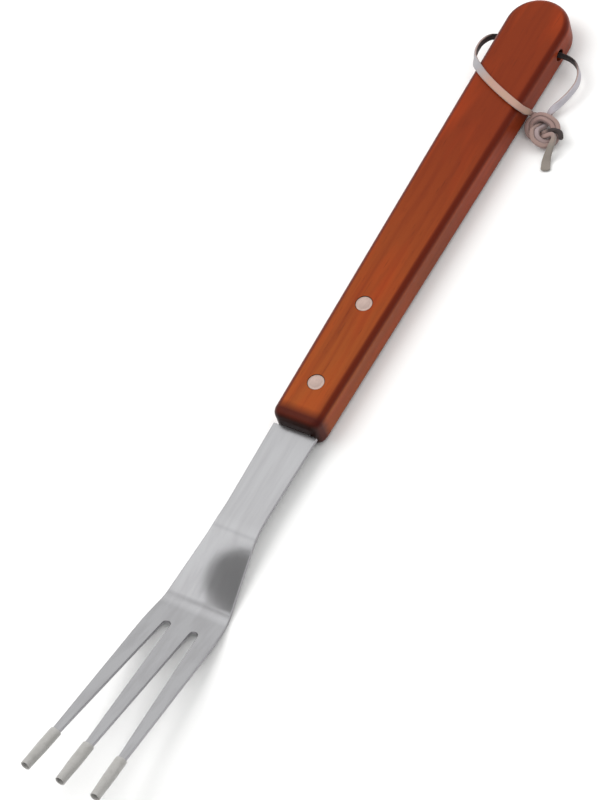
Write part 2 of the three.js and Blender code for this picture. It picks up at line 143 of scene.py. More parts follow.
# Between these lie most values of a cloudy pattern
marksLow = 0.3
marksHigh = 0.7


def newMaterial(name):
    material = bpy.data.materials.new(name)
    material.use_nodes = True
    material.node_tree.nodes.clear()
    return material, material.node_tree


# Thong: one flat leather lace, through the hole, over the handle and back into a doubled knot.
# Each station of a route is its place, where the pale side looks, and how far it is squeezed by the knot,
# below 0 where its end spreads. The loop's places are measured from the hole's middle, the others from the
# knot's.
thong = {
    "hole": (91.5, 0, 7.5),
    "width": 3.4,
    "thickness": 1.2,
    "knotWidth": 2.0,
    "knotThickness": 1.95,
    "strandPitch": 2.1,
    "knotCentre": (-35.1, -23.4, -3.75),
    "knotDown": (-0.6, -0.8, 0),
    "ringStep": 0.4,
    "leastRings": 2,
    "edgeSteps": 5,
    "edgeRound": 0.6,
    "endRound": 1.1,
    "fullest": 0.95,  # the most of its thickness to its width
    "knotFacing": 0.8,  # how far its pale side looks up in the knot, and otherwise outward
    "exit": (56.8, -12.0, 15.5),
}
# Middle of the doubled lace in the knot: towards the tails, to the right, up
knotRoute = [
    (-4.4, 2.3, -1.8),
    (-2.55, -0.4, -0.25),
    (0, -3.6, 2.2),
    (3.1, -4.8, 1.4),
    (6.1, -2.9, -0.4),
    (5.5, 1.8, -1.9),
    (0, 5.2, 0),
    (-5.5, 1.8, 1.9),
    (-6.1, -2.9, 0.4),
    (-3.1, -4.8, -1.4),
    (0, -3.6, -2.2),
    (2.55, -0.4, 0.25),
    (4.4, 2.3, 1.8),
]
longTail = [
    ((7.2, 1.8, 2.2), (-0.1, -0.7, 0.7), 1),
    ((9.4, -0.3, 1.7), (0.1, -0.4, 0.9), 0.6),
    ((11.1, -3, -0.4), (0.3, -0.4, 0.9), 0.2),
    ((13, -5.4, -2.6), (0.2, -0.1, 1), -0.2),
    ((16.9, -7.8, -3), (0, 0, 1), -0.6),
]
shortTail = [
    ((6.1, 4.9, 1.9), (0, 0.9, -0.4), 1),
    ((9.3, 3.9, 1), (0.1, 0.8, -0.5), 0.8),
]
# From the knot over the handle's top and round to the hole, then out and back to the knot
loopRoute = [
    ((-28.1, -18.7, -5.4), (-0.8, 0.1, 0.6), 1),
    ((-29.4, -15.2, -3.4), (-0.4, -0.8, 0.3), 1),
    ((-30.9, -14.8, -0.2), (0.1, -0.9, 0.2), 0.5),
    ((-33.4, -14.8, 4), (0.2, -0.9, 0.4), 0),
    ((-34.5, -13.2, 7.5), (0, -0.5, 0.9), 0),
    ((-33.4, -9.1, 8.5), (0, 0, 1), 0),
    ((-29.3, 0.2, 8.45), (0, 0, 1), 0),
    ((-25.2, 7.9, 8.45), (0, 0, 1), 0),
    ((-22, 12.4, 8), (0.1, 0.6, 0.8), 0),
    ((-18.3, 15.9, 5), (0.1, 1, 0.3), 0),
    ((-14.6, 18.5, 2.4), (-0.1, 1, 0), 0),
    ((-9.6, 20.6, 0.5), (0, 1, 0), 0),
    ((-4.8, 20.6, 0), (0.4, 0.9, 0), 0),
    ((-1.3, 18.4, 0), (0.9, 0.3, 0), 0),
    ((0, 14.6, 0), (1, 0, 0), 0),
    ((0, 0, 0), (1, 0, 0), 0),
    ((0, -14.6, 0), (1, 0, 0), 0),
    ((-0.5, -19.2, -0.1), (1, -0.2, 0), 0),
    ((-2.2, -22.7, -0.3), (0.8, -0.6, 0), 0),
    ((-4.9, -25.2, -1.2), (0.4, -0.9, 0.1), 0),
    ((-9.3, -26.4, -2.2), (0, -1, 0.2), 0),
    ((-14.8, -25.8, -2.6), (-0.2, -1, 0.2), 0),
    ((-20.4, -24.1, -3), (-0.3, -0.9, 0.3), 0),
    ((-25, -21.8, -4.3), (-0.2, -0.2, 0.9), 0.5),
    ((-27.4, -21.8, -5.2), (0, 0.7, 0.7), 1),
]


# A smooth curve through points, paced by the square root of their distance. Points that coincide count as
# this far apart.
leastApart = 1e-9


def smoothPoint(points, i, share):
    p1, p2 = points[i], points[i + 1]
    p0 = points[i - 1] if i > 0 else p1 * 2 - p2
    p3 = points[i + 2] if i + 2 < len(points) else p2 * 2 - p1
    spans = ((p0, p1), (p1, p2), (p2, p3))
    d0, d1, d2 = (max((b - a).length, leastApart) ** 0.5 for a, b in spans)
    t1 = ((p1 - p0) / d0 - (p2 - p0) / (d0 + d1) + (p2 - p1) / d1) * d1
    t2 = ((p2 - p1) / d1 - (p3 - p1) / (d1 + d2) + (p3 - p2) / d2) * d1
    cubic = (p1 - p2) * 2 + t1 + t2
    square = (p2 - p1) * 3 - t1 * 2 - t2
    place = cubic * share ** 3 + square * share ** 2 + t1 * share + p1
    along = cubic * (3 * share ** 2) + square * (2 * share) + t1
    return place, along.normalized()


def knotWay(place):
    down = Vector(thong["knotDown"])
    up = Vector((0, 0, 1))
    return down * place[0] + up.cross(down) * place[1] + up * place[2]


# One strand of the doubled lace beside the knot's middle route, pale side up and outward
def knotStrand(side):
    points = [Vector(p) for p in knotRoute]
    apart = thong["strandPitch"] / 2
    centre = Vector(thong["knotCentre"])
    stations = []
    for i, point in enumerate(points):
        last = i == len(points) - 1
        along = smoothPoint(points, i - last, float(last))[1]
        sideways = Vector((0, 0, 1)).cross(along).normalized()
        at = knotWay(point + sideways * side * apart) + centre
        upward = Vector((0, 0, thong["knotFacing"]))
        stations.append((at, knotWay(upward - sideways * (1 - thong["knotFacing"])), 1.0))
    return stations


def laceStations():
    centre = Vector(thong["knotCentre"])
    tail = [(knotWay(at) + centre, knotWay(face), squeezed) for at, face, squeezed in longTail]
    stub = [(knotWay(at) + centre, knotWay(face), squeezed) for at, face, squeezed in shortTail]
    loop = [(Vector(at), Vector(face), squeezed) for at, face, squeezed in loopRoute]
    return tail[::-1] + knotStrand(-1)[::-1] + loop + knotStrand(1) + stub


# The lace's flat section, its edges rounded
def laceSection(halfWidth, halfThick):
    steps = thong["edgeSteps"]
    corner = min(halfThick, thong["edgeRound"])
    flat = halfWidth - corner
    right = []
    for k in range(-steps, steps + 1):
        turn = math.pi * k / (2 * steps)
        side = (k > 0) - (k < 0)
        across = flat + corner * math.cos(turn)
        upward = side * (halfThick - corner) + corner * math.sin(turn)
        right.append((across, upward))
    left = [(-x, -y) for x, y in right]
    return right + left


# Closely spaced frames along the whole lace: centre, along, face, squeeze and distance travelled
def laceFrames():
    stations = laceStations()
    points = [at for at, face, squeezed in stations]
    frames = []
    travelled = 0.0
    for i in range(len(stations) - 1):
        span = (points[i + 1] - points[i]).length
        steps = max(thong["leastRings"], round(span / thong["ringStep"]))
        final = i == len(stations) - 2
        for k in range(steps + final):
            share = k / steps
            centre, along = smoothPoint(points, i, share)
            face = stations[i][1].normalized().lerp(stations[i + 1][1].normalized(), share)
            face = (face - along * face.dot(along)).normalized()
            squeezed = stations[i][2] * (1 - share) + stations[i + 1][2] * share
            travelled += (centre - frames[-1][0]).length if frames else 0.0
            frames.append((centre, along, face, squeezed, travelled))
    return frames


# Width and thickness where the knot squeezes the lace, its two ends rounded off
def laceSize(squeezed, fromEnd):
    wide = thong["width"] * (1 - squeezed) + thong["knotWidth"] * squeezed
    thick = thong["thickness"] * (1 - squeezed) + thong["knotThickness"] * squeezed
    corner = thong["endRound"]
    inside = corner - min(fromEnd, corner)
    wide -= 2 * (corner - math.sqrt(corner ** 2 - inside ** 2))
    return wide, thick


def makeThong(material):
    frames = laceFrames()
    length = frames[-1][4]
    middle = min(frames, key=lambda station: station[0].length)[4]
    rings, spots, travels, squeezes = [], [], [], []
    for centre, along, face, squeezed, travelled in frames:
        across = face.cross(along)
        wide, thick = laceSize(squeezed, min(travelled, length - travelled))
        section = laceSection(wide / 2, min(thick, thong["fullest"] * wide) / 2)
        rings.append([(centre + across * x + face * y) for x, y in section])
        spots += [(travelled - middle, x, 2 * y / thick) for x, y in section]
        travels += [travelled] * len(section)
        squeezes += [max(squeezed, 0)] * len(section)
    hole = Vector(thong["hole"])
    sides = len(rings[0])
    verts = [(v + hole) * mm for ring in rings for v in ring]
    faces = []
    for r in range(len(rings) - 1):
        for k in range(sides):
            a, b = r * sides + k, r * sides + (k + 1) % sides
            faces.append((a, b, b + sides, a + sides))
    last = (len(rings) - 1) * sides
    faces.append(tuple(range(sides))[::-1])
    faces.append(tuple(range(last, last + sides)))
    mesh = bpy.data.meshes.new("leatherThong")
    mesh.from_pydata(verts, [], faces)
    coord = mesh.attributes.new("laceCoord", "FLOAT_VECTOR", "POINT")
    coord.data.foreach_set("vector", [value for spot in spots for value in spot])
    for name, values in (("laceTail", travels), ("laceSqueeze", squeezes)):
        attribute = mesh.attributes.new(name, "FLOAT", "POINT")
        attribute.data.foreach_set("value", values)
    mesh.materials.append(material)
    for polygon in mesh.polygons:
        polygon.use_smooth = True
    lace = bpy.data.objects.new("leatherThong", mesh)
    scene.collection.objects.link(lace)
    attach(lace, "thong")
    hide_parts("leather_thong")
    print(f"thong made: {length:.1f} mm of lace, {len(rings)} rings")


# Undyed split leather: a fuzzy pale flesh side, warm over the handle and in the knot and cooler round the
# hole, with a dark grain side and raw edges. Near the hole it is painted nearly black as shade, in the knot
# it is painted darker as shade, and it is dark on the short tail and greyer towards the long one's end. Its
# own coordinate is in mm and runs along it from the hole, across it, and from its grain side at -1 to its
# flesh side at 1. The fibres are drawn coarser than real ones, so that they show.
leatherLook = {
    "pale": "b08b7e",
    "worn": ("a88d76", 0.45, 0.7, 1),
    "grey": ("9a989b", -56, -46, 1),
    "cool": ("b9b5bc", 0, 10, 1),
    "warmAgain": (62, 74, 1),
    "fibre": ("a08b85", 0.5, 0.75, 0.3),
    "edge": ("a08b85", 0.75, 0.2, 1),
    "grain": ("3a3130", -0.35, -0.85, 1),
    # Painted shade in the knot, darker where it squeezes the lace
    "knotShade": ("917b78", 0.3, 1, 0.75),
    "stub": ("3a3130", 99, 101.5, 1),
    # Greyer towards the long tail's end
    "tailGrey": ("7d7c75", 19, 11, 0.85),
    # Painted shade: the lace is painted nearly black where it enters the hole, round this middle
    "holeShade": ("1d1413", 24.5, 19.5, 1),
    "holeShadeMiddle": 2.2,
    "fibreMarks": ((2.2, 0.4, 1.0), 4, 0.5),
    "blotchMarks": ((11, 5, 3), 2, 0.5),
    "fibreBump": 0.5,
    "fibreDepth": 0.12,
    "roughness": 0.85,
    "ior": 1.45,
    "sheen": 0.15,
    "sheenRoughness": 0.5,
}


def makeLeather():
    look = leatherLook
    material, tree = newMaterial("splitLeather")
    spot = addNode(tree, "ShaderNodeAttribute", attribute_name="laceCoord").outputs["Vector"]
    split = addNode(tree, "ShaderNodeSeparateXYZ", {"Vector": spot})
    along = split.outputs["X"]
    side = split.outputs["Z"]
    squeezed = addNode(tree, "ShaderNodeAttribute", attribute_name="laceSqueeze").outputs["Fac"]
    fromTail = addNode(tree, "ShaderNodeAttribute", attribute_name="laceTail").outputs["Fac"]
    fromHole = distanceFrom(tree, along, look["holeShadeMiddle"])
    fibres = spreadMarks(tree, spot, look["fibreMarks"])
    blotches = spreadMarks(tree, spot, look["blotchMarks"])
    warm = layShade(tree, linearColour(look["pale"]), blotches, look["worn"])
    colour = layShade(tree, warm, along, look["grey"])
    colour = layShade(tree, colour, along, look["cool"])
    colour = layShade(tree, colour, along, (warm, *look["warmAgain"]))
    layers = {
        "fibre": fibres,
        "edge": side,
        "grain": side,
        # painted shade in the knot
        "knotShade": squeezed,
        "stub": along,
        "tailGrey": fromTail,
        # painted shade, nearly black by the hole
        "holeShade": fromHole,
    }
    for name, value in layers.items():
        colour = layShade(tree, colour, value, look[name])
    bump = addNode(tree, "ShaderNodeBump", {
        "Height": fibres, "Strength": look["fibreBump"], "Distance": look["fibreDepth"] * mm,
    })
    shader = addNode(tree, "ShaderNodeBsdfPrincipled", {
        "Base Color": colour,
        "Roughness": look["roughness"],
        "IOR": look["ior"],
        "Sheen Weight": look["sheen"],
        "Sheen Roughness": look["sheenRoughness"],
        "Normal": bump.outputs[0],
    })
    addNode(tree, "ShaderNodeOutputMaterial", {"Surface": shader.outputs[0]})
    return material


makeThong(makeLeather())


# In mm: places closer than the first count as level or in line, and farther than the second as apart
closeBy = 0.01
wellApart = 1


# Selects the vertices, or the edges, of the piece being edited that pass a test of their places in mm
def pickVerts(test):
    bpy.ops.mesh.select_mode(type="VERT")
    bpy.ops.mesh.select_all(action="DESELECT")
    mesh = bmesh.from_edit_mesh(bpy.context.object.data)
    for vert in mesh.verts:
        if test(vert.co / mm):
            vert.select_set(True)
    mesh.select_flush_mode()


def pickEdges(test):
    bpy.ops.mesh.select_mode(type="EDGE")
    bpy.ops.mesh.select_all(action="DESELECT")
    mesh = bmesh.from_edit_mesh(bpy.context.object.data)
    for edge in mesh.edges:
        if test(edge.verts[0].co / mm, edge.verts[1].co / mm):
            edge.select_set(True)
    mesh.select_flush_mode()


# Names the piece that was just added and opens it in edit mode
def openPiece(name):
    piece = bpy.context.object
    piece.name = name
    piece.data.name = name
    bpy.ops.object.mode_set(mode="EDIT")
    return piece


# A block of a size at a place, left in edit mode with its object at the origin
def startBlock(name, size, centre):
    bpy.ops.object.select_all(action="DESELECT")
    bpy.ops.mesh.primitive_cube_add(size=mm)
    piece = openPiece(name)
    bpy.ops.transform.resize(value=size, center_override=(0, 0, 0))
    bpy.ops.transform.translate(value=Vector(centre) * mm)
    return piece


# A line of edges through places, drawn out from one vertex and left in edit mode
def startLine(name, places):
    bpy.ops.object.select_all(action="DESELECT")
    bpy.ops.mesh.primitive_plane_add(size=mm)
    piece = openPiece(name)
    bpy.ops.mesh.select_mode(type="VERT")
    bpy.ops.mesh.select_all(action="SELECT")
    bpy.ops.mesh.merge(type="CENTER")
    bpy.ops.transform.translate(value=Vector(places[0]) * mm)
    for start, end in zip(places, places[1:]):
        step = (Vector(end) - Vector(start)) * mm
        bpy.ops.mesh.extrude_region_move(TRANSFORM_OT_translate={"value": step})
    return piece


def roundOver(radius, steps, affect="EDGES"):
    bpy.ops.mesh.bevel(offset=radius * mm, segments=steps, affect=affect, clamp_overlap=False)


def addModifier(piece, kind, **settings):
    bpy.context.view_layer.objects.active = piece
    modifier = piece.modifiers.new(kind.lower(), kind)
    for name, value in settings.items():
        setattr(modifier, name, value)
    bpy.ops.object.modifier_apply(modifier=modifier.name)


def cutAway(piece, cutter):
    addModifier(piece, "BOOLEAN", object=cutter, operation="DIFFERENCE", solver="EXACT")
    bpy.data.objects.remove(cutter)


def startRod(diameter, length, centre, turn=(0, 0, 0), sides=64):
    bpy.ops.object.select_all(action="DESELECT")
    bpy.ops.mesh.primitive_cylinder_add(vertices=sides, radius=diameter / 2 * mm, depth=length * mm,
                                        location=Vector(centre) * mm, rotation=turn)
    return bpy.context.object


def finishPiece(piece, body, node, material, smoothAngle=35):
    bpy.ops.object.select_all(action="DESELECT")
    piece.select_set(True)
    bpy.context.view_layer.objects.active = piece
    bpy.ops.object.shade_smooth_by_angle(angle=math.radians(smoothAngle))
    addModifier(piece, "WEIGHTED_NORMAL", keep_sharp=True)
    piece.data.materials.clear()
    piece.data.materials.append(material)
    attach(piece, body)
    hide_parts(node)


# Handle: a flared block with a round butt, all its edges rounded over
handle = {
    "length": 225,
    "frontWidth": 21.6,
    "buttWidth": 28.6,
    "thickness": 15,
    "edgeRadius": 3.5,
    "edgeSteps": 8,
    "frontCorner": 4.5,
    "frontSteps": 10,
    "buttCorner": 14.28,
    "buttSteps": 24,
    "buttGap": 0.2,  # the flat between the butt's two corners, which is closed
    "mortise": (74.3, 13.6, 2.2),
    "thongHole": 5,
    "thongHoleFromButt": 21,
    "thongHoleRim": 0.5,
    "thongHoleRimSteps": 3,
    "thongHoleSlack": 0.05,  # what lies this close to the hole's rim is on it
    "rivetSink": 7.3,
    "rivetSinkDepth": 1.45,
    "rivetShaft": 4.5,
}
rivetPlaces = {"front": -93.0, "rear": -53.0}


def makeHandle(material):
    h = handle
    end = h["length"] / 2
    middle = h["thickness"] / 2
    piece = startBlock("handleWood", (h["length"], h["buttWidth"], h["thickness"]), (0, 0, middle))
    pickVerts(lambda v: v.x < 0)
    bpy.ops.transform.resize(value=(1, h["frontWidth"] / h["buttWidth"], 1),
                             center_override=(-end * mm, 0, middle * mm))
    pickEdges(lambda a, b: a.x > 0 and b.x > 0 and abs(a.z - b.z) > wellApart)
    roundOver(h["buttCorner"], h["buttSteps"])
    pickEdges(lambda a, b: max(a.x, b.x) < 0 and abs(a.z - b.z) > wellApart)
    roundOver(h["frontCorner"], h["frontSteps"])
    bpy.ops.mesh.select_all(action="SELECT")
    bpy.ops.mesh.remove_doubles(threshold=h["buttGap"] * mm)
    pickEdges(lambda a, b: abs(a.z - b.z) < closeBy)
    roundOver(h["edgeRadius"], h["edgeSteps"])
    bpy.ops.object.mode_set(mode="OBJECT")

    deep, wide, high = h["mortise"]
    mortise = startBlock("mortise", (2 * deep, wide, high), (-end, 0, middle))
    bpy.ops.object.mode_set(mode="OBJECT")
    cutAway(piece, mortise)
    for x in rivetPlaces.values():
        cutAway(piece, startRod(h["rivetShaft"], 2 * h["thickness"], (x, 0, middle)))
        for z in (0, h["thickness"]):
            cutAway(piece, startRod(h["rivetSink"], 2 * h["rivetSinkDepth"], (x, 0, z)))
    holeX = end - h["thongHoleFromButt"]
    crosswise = (math.pi / 2, 0, 0)
    cutAway(piece, startRod(h["thongHole"], 2 * h["buttWidth"], (holeX, 0, middle), crosswise))

    # The mouths of the thong's hole are eased
    bpy.ops.object.select_all(action="DESELECT")
    bpy.context.view_layer.objects.active = piece
    bpy.ops.object.mode_set(mode="EDIT")
    rim = h["thongHole"] / 2 + h["thongHoleSlack"]

    def onRim(v):
        return math.hypot(v.x - holeX, v.z - middle) < rim and abs(v.y) > h["frontWidth"] / 2

    pickEdges(lambda a, b: onRim(a) and onRim(b) and abs(a.y - b.y) < wellApart)
    roundOver(h["thongHoleRim"], h["thongHoleRimSteps"])
    bpy.ops.object.mode_set(mode="OBJECT")
    finishPiece(piece, "fork", "handle", material)
    print("handle made:", len(piece.data.polygons), "faces")


# Blade: a flat blank drawn in sheet, its corners rounded, then folded down at the neck and up at the head.
# Reaches run from the handle's front end towards the tips.
blade = {
    "sheet": 1.6,
    "plane": 7.5,
    "start": -112.5,
    "tangLength": 74,
    "tangWidth": 13,
    "shoulderGap": 0.3,
    "shankWidth": 20.2,
    "waist": (46.5, 18.4),
    "head": (90.5, 32.2),
    "shoulderRound": 9,
    "shoulderSteps": 12,
    "slotReach": 92.6,
    "slotRound": 0.49,  # share of the slot's width that each corner of its root takes
    "slotSteps": 8,
    "rootReach": 94.5,
    "middleRootWidth": 8.9,
    "sideRootWidth": 8,
    "neckReach": 164,
    "neckWidth": 2.6,
    "pointReach": 170.5,
    "pointWidth": 0.5,
    "splay": 3.2,
    "neckBend": 47,
    "neckRadius": 30,
    "neckDrop": 6.9,
    "headBend": 83,
    "headRadius": 15,
    "tineSlope": 13.9,
    "bendSteps": 8,
    "foldSlack": 0.001,  # what lies this close to a fold line turns with it
    "edgeRound": 0.22,
    "edgeSteps": 3,
    "edgeAngle": 40,
}


# Distance along the sheet to a reach that is measured level
def alongSheet(reach):
    b = blade
    neckRun = b["headBend"] - b["neckBend"]
    neck = min(max(reach - b["neckBend"], 0), neckRun) * math.hypot(1, b["neckDrop"] / neckRun)
    tines = max(reach - b["headBend"], 0) / math.cos(math.radians(b["tineSlope"]))
    return min(reach, b["neckBend"]) + neck + tines


# Places of a tine's edges, straight from its root to its neck
def tineEdge(middle, side, reach):
    b = blade
    share = (reach - b["rootReach"]) / (b["neckReach"] - b["rootReach"])
    rootWidth = b["middleRootWidth"] if middle else b["sideRootWidth"]
    rootY = 0 if middle else (b["head"][1] - b["sideRootWidth"]) / 2
    width = rootWidth + share * (b["neckWidth"] - rootWidth)
    return rootY + (0 if middle else share * b["splay"]) + side * width / 2


def bladeBlank():
    b = blade
    tip = (tineEdge(False, 1, b["pointReach"]) + tineEdge(False, -1, b["pointReach"])) / 2
    half = [
        (-b["tangLength"], b["tangWidth"] / 2),
        (b["shoulderGap"], b["tangWidth"] / 2),
        (b["shoulderGap"], b["shankWidth"] / 2),
        (b["waist"][0], b["waist"][1] / 2),
        (b["head"][0], b["head"][1] / 2),
        (b["neckReach"], tineEdge(False, 1, b["neckReach"])),
        (b["pointReach"], tip + b["pointWidth"] / 2),
        (b["pointReach"], tip - b["pointWidth"] / 2),
        (b["neckReach"], tineEdge(False, -1, b["neckReach"])),
        (b["slotReach"], tineEdge(False, -1, b["slotReach"])),
        (b["slotReach"], tineEdge(True, 1, b["slotReach"])),
        (b["neckReach"], tineEdge(True, 1, b["neckReach"])),
        (b["pointReach"], b["pointWidth"] / 2),
    ]
    whole = half + [(reach, -y) for reach, y in reversed(half)]
    return [(b["start"] - alongSheet(reach), y, b["plane"]) for reach, y in whole]


# Cuts fold lines round a bend's middle and turns all that lies beyond each, tips first
def foldBlank(reach, turn, radius):
    b = blade
    steps = b["bendSteps"]
    arc = abs(turn) * radius
    lines = [alongSheet(reach) + arc * ((k + 0.5) / steps - 0.5) for k in range(steps)]
    for line in reversed(lines):
        x = b["start"] - line
        fold = Vector((x, 0, b["plane"])) * mm
        bpy.ops.mesh.select_all(action="SELECT")
        bpy.ops.mesh.bisect(plane_co=fold, plane_no=(1, 0, 0))
        pickVerts(lambda v: v.x < x + b["foldSlack"])
        bpy.ops.transform.rotate(value=turn / steps, orient_axis="Y", center_override=fold)


def makeBlade(material):
    b = blade
    piece = startLine("forkBlade", bladeBlank())
    bpy.ops.mesh.select_all(action="SELECT")
    bpy.ops.mesh.edge_face_add()
    roundReaches = [b["start"] - alongSheet(r) for r in (b["waist"][0], b["head"][0])]
    pickVerts(lambda v: min(abs(v.x - x) for x in roundReaches) < closeBy)
    roundOver(b["shoulderRound"], b["shoulderSteps"], "VERTICES")
    slotX = b["start"] - alongSheet(b["slotReach"])
    sideTine = (b["head"][1] - b["sideRootWidth"]) / 2
    pickVerts(lambda v: abs(v.x - slotX) < closeBy and abs(v.y) < sideTine)
    slotWidth = tineEdge(False, -1, b["slotReach"]) - tineEdge(True, 1, b["slotReach"])
    roundOver(b["slotRound"] * slotWidth, b["slotSteps"], "VERTICES")

    neckTurn = math.atan2(b["neckDrop"], b["headBend"] - b["neckBend"])
    headTurn = neckTurn + math.radians(b["tineSlope"])
    bpy.ops.mesh.select_mode(type="VERT")
    foldBlank(b["headBend"], -headTurn, b["headRadius"])
    foldBlank(b["neckBend"], neckTurn, b["neckRadius"])
    bpy.ops.mesh.select_all(action="SELECT")
    bpy.ops.mesh.normals_make_consistent(inside=False)
    bpy.ops.object.mode_set(mode="OBJECT")
    addModifier(piece, "SOLIDIFY", thickness=b["sheet"] * mm, offset=0, use_even_offset=True)
    for x in rivetPlaces.values():
        cutAway(piece, startRod(handle["rivetShaft"], 3 * b["sheet"], (x, 0, b["plane"])))
    addModifier(piece, "BEVEL", width=b["edgeRound"] * mm, segments=b["edgeSteps"], limit_method="ANGLE",
                angle_limit=math.radians(b["edgeAngle"]), use_clamp_overlap=False)
    finishPiece(piece, "fork", "fork_blade", material)
    print("blade made:", len(piece.data.polygons), "faces")


# Rivets: two halves turned about an upright axis, the heads with a bright land round a shallow dish
rivet = {
    "middle": 7.5,
    "face": 7.4,
    "headThickness": 1.2,
    "headDiameter": 7,
    "headRound": 0.25,
    "roundCut": 0.3,  # share of the rounding at its middle
    "landDiameter": 5,
    "dish": 0.25,
    "dishSteps": [(0, 1), (0.3, 0.85), (0.46, 0.15), (0.5, 0)],  # shares of the land's width and the dish
    "tubeDiameter": 4.2,
    "boreDiameter": 2.8,
    "pinDiameter": 2.3,
    "tubeGap": 0.15,
    "pinGap": 1.5,
    "turns": 48,
    "mergeWithin": 0.001,
}


def rivetHead():
    r = rivet
    edge = r["headDiameter"] / 2
    cut = r["roundCut"] * r["headRound"]
    dish = [(r["landDiameter"] * out, r["face"] - deep * r["dish"]) for out, deep in r["dishSteps"]]
    return dish + [
        (edge - r["headRound"], r["face"]),
        (edge - cut, r["face"] - cut),
        (edge, r["face"] - r["headRound"]),
        (edge, r["face"] - r["headThickness"]),
    ]


def turnRivet(name, profile, x):
    places = [(x + radius, 0, rivet["middle"] + height) for radius, height in profile]
    piece = startLine(name, places)
    bpy.ops.mesh.select_all(action="SELECT")
    axisPlace = Vector((x, 0, rivet["middle"])) * mm
    bpy.ops.mesh.spin(steps=rivet["turns"], angle=2 * math.pi, center=axisPlace, axis=(0, 0, 1))
    bpy.ops.mesh.select_all(action="SELECT")
    bpy.ops.mesh.remove_doubles(threshold=rivet["mergeWithin"] * mm)
    bpy.ops.mesh.normals_make_consistent(inside=False)
    bpy.ops.object.mode_set(mode="OBJECT")
    return piece


def makeRivets(material):
    r = rivet
    under = r["face"] - r["headThickness"]
    tube = r["tubeDiameter"] / 2
    bore = r["boreDiameter"] / 2
    pin = r["pinDiameter"] / 2
    tubeEnd = r["tubeGap"] - under
    tubeProfile = rivetHead() + [(tube, under), (tube, tubeEnd), (bore, tubeEnd), (bore, under), (0, under)]
    pinEnd = under - r["pinGap"]
    pinProfile = [(radius, -height) for radius, height in rivetHead()]
    pinProfile += [(pin, -under), (pin, pinEnd), (0, pinEnd)]
    for half, profile in (("tube", tubeProfile), ("pin", pinProfile)):
        first = turnRivet(f"rivet{half.title()}Front", profile, rivetPlaces["front"])
        bpy.ops.object.select_all(action="DESELECT")
        first.select_set(True)
        bpy.ops.object.duplicate()
        second = bpy.context.object
        second.name = f"rivet{half.title()}Rear"
        bpy.ops.object.mode_set(mode="EDIT")
        bpy.ops.mesh.select_all(action="SELECT")
        bpy.ops.transform.translate(value=((rivetPlaces["rear"] - rivetPlaces["front"]) * mm, 0, 0))
        bpy.ops.object.mode_set(mode="OBJECT")
        finishPiece(first, "fork", f"rivet_{half}_front", material)
        finishPiece(second, "fork", f"rivet_{half}_rear", material)
    print("rivets made")


# Tip guards: soft sleeves that the flat tine presses oval, relaxing to a round open end
guard = {
    "reach": 155.5,
    "length": 19,
    "wall": 0.35,
    "clearance": 0.1,
    "mouthHeight": 3.2,
    "endDiameter": 4.1,
    "ovalShare": 0.35,  # how much of the sleeve stays as oval as its mouth
    "rings": 16,
    "sides": 40,
    "lipRound": 0.12,
    "lipSteps": 3,
    "lipAngle": 50,
    "smoothAngle": 50,
}


def guardSize(share, tineWidth):
    g = guard
    cornerHeight = (blade["sheet"] + 2 * g["clearance"]) / g["mouthHeight"]
    mouth = (tineWidth + 2 * g["clearance"]) / math.sqrt(1 - cornerHeight ** 2)
    end = g["endDiameter"] - 2 * g["wall"]
    t = min(max((share - g["ovalShare"]) / (1 - g["ovalShare"]), 0), 1)
    ease = t * t * (3 - 2 * t)
    return mouth + (end - mouth) * ease, g["mouthHeight"] + (end - g["mouthHeight"]) * ease


def makeGuard(name, body, node, middle, side, material):
    g = guard
    tineWidth = tineEdge(middle, 1, g["reach"]) - tineEdge(middle, -1, g["reach"])
    bpy.ops.object.select_all(action="DESELECT")
    bpy.ops.mesh.primitive_circle_add(vertices=g["sides"], radius=mm / 2, fill_type="NOTHING")
    piece = openPiece(name)  # a ring 1 mm across, so that its size in mm stretches it to that size
    wide, high = guardSize(0, tineWidth)
    bpy.ops.transform.resize(value=(wide, high, 1), center_override=(0, 0, 0))
    for ring in range(1, g["rings"] + 1):
        newWide, newHigh = guardSize(ring / g["rings"], tineWidth)
        step = g["length"] / g["rings"] * mm
        bpy.ops.mesh.extrude_region_move(TRANSFORM_OT_translate={"value": (0, 0, step)})
        grow = (newWide / wide, newHigh / high, 1)
        bpy.ops.transform.resize(value=grow, center_override=(0, 0, ring * step))
        wide, high = newWide, newHigh
    bpy.ops.mesh.select_all(action="SELECT")
    bpy.ops.mesh.normals_make_consistent(inside=False)
    bpy.ops.object.mode_set(mode="OBJECT")
    addModifier(piece, "SOLIDIFY", thickness=g["wall"] * mm, offset=1)
    addModifier(piece, "BEVEL", width=g["lipRound"] * mm, segments=g["lipSteps"], limit_method="ANGLE",
                angle_limit=math.radians(g["lipAngle"]))

    # The sleeve's own z lies along its tine and its own x across it
    rise = math.tan(math.radians(blade["tineSlope"]))
    splay = 0 if middle else blade["splay"] / (blade["neckReach"] - blade["rootReach"])
    along = Vector((-1, side * splay, rise)).normalized()
    normal = Vector((rise, 0, 1)).normalized()
    across = normal.cross(along)
    centreY = (tineEdge(middle, 1, g["reach"]) + tineEdge(middle, -1, g["reach"])) / 2
    height = blade["plane"] - blade["neckDrop"] + (g["reach"] - blade["headBend"]) * rise
    turn = Matrix((across, normal, along)).transposed().to_4x4()
    mouthPlace = Vector((blade["start"] - g["reach"], side * centreY, height)) * mm
    piece.matrix_world = Matrix.Translation(mouthPlace) @ turn
    bpy.ops.object.select_all(action="DESELECT")
    piece.select_set(True)
    bpy.ops.object.transform_apply(location=True, rotation=True, scale=True)
    finishPiece(piece, body, node, material, g["smoothAngle"])
